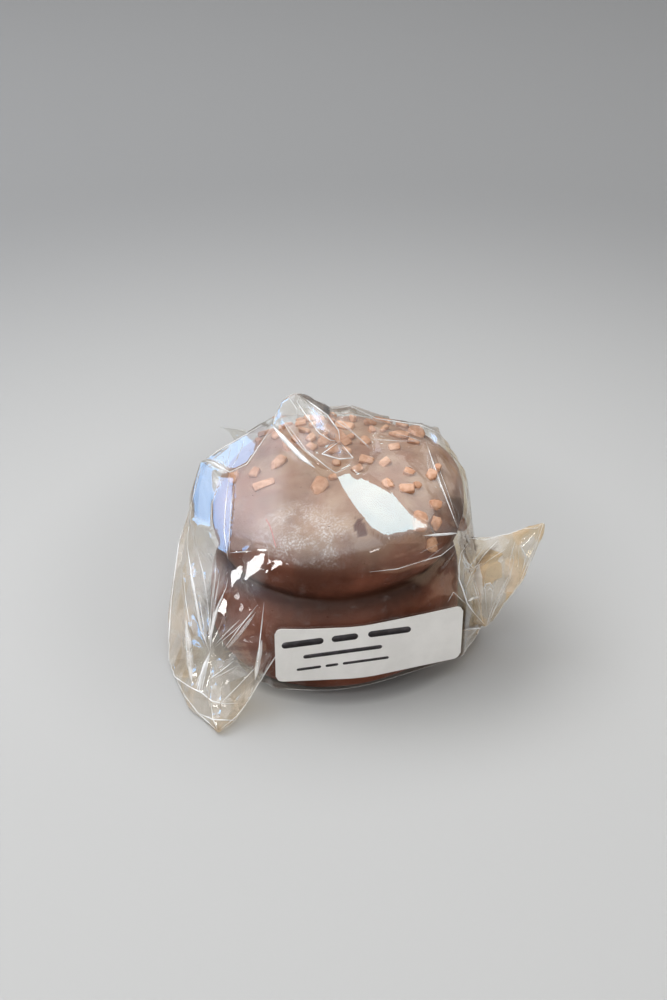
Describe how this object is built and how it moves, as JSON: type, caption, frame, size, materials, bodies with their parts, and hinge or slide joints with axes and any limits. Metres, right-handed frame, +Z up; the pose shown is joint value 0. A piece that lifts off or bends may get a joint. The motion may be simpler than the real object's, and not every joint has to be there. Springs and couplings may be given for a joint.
{
  "type": "honey cake in a clear bag",
  "caption": "Round chocolate-coated honey cake with caramel chips, shut in a clear bag with folded ends and a sticker on the front.",
  "frame": {"origin": "on the table under the centre of the cake's lower layer", "axes": "+Z up, -Y towards the front with the sticker, +X towards the flared ear"},
  "size_m": [0.0936, 0.0832, 0.0617],
  "materials": {
    "film": "clear, thin and crisp, with folds that catch the light",
    "label": "white semi-gloss sticker paper",
    "chocolate": "chocolate coating with a dull pale bloom",
    "chips": "matt caramel chips"
  },
  "bodies": {
    "root": {"bag": "film", "label": "label"}
  },
  "joints": []
}
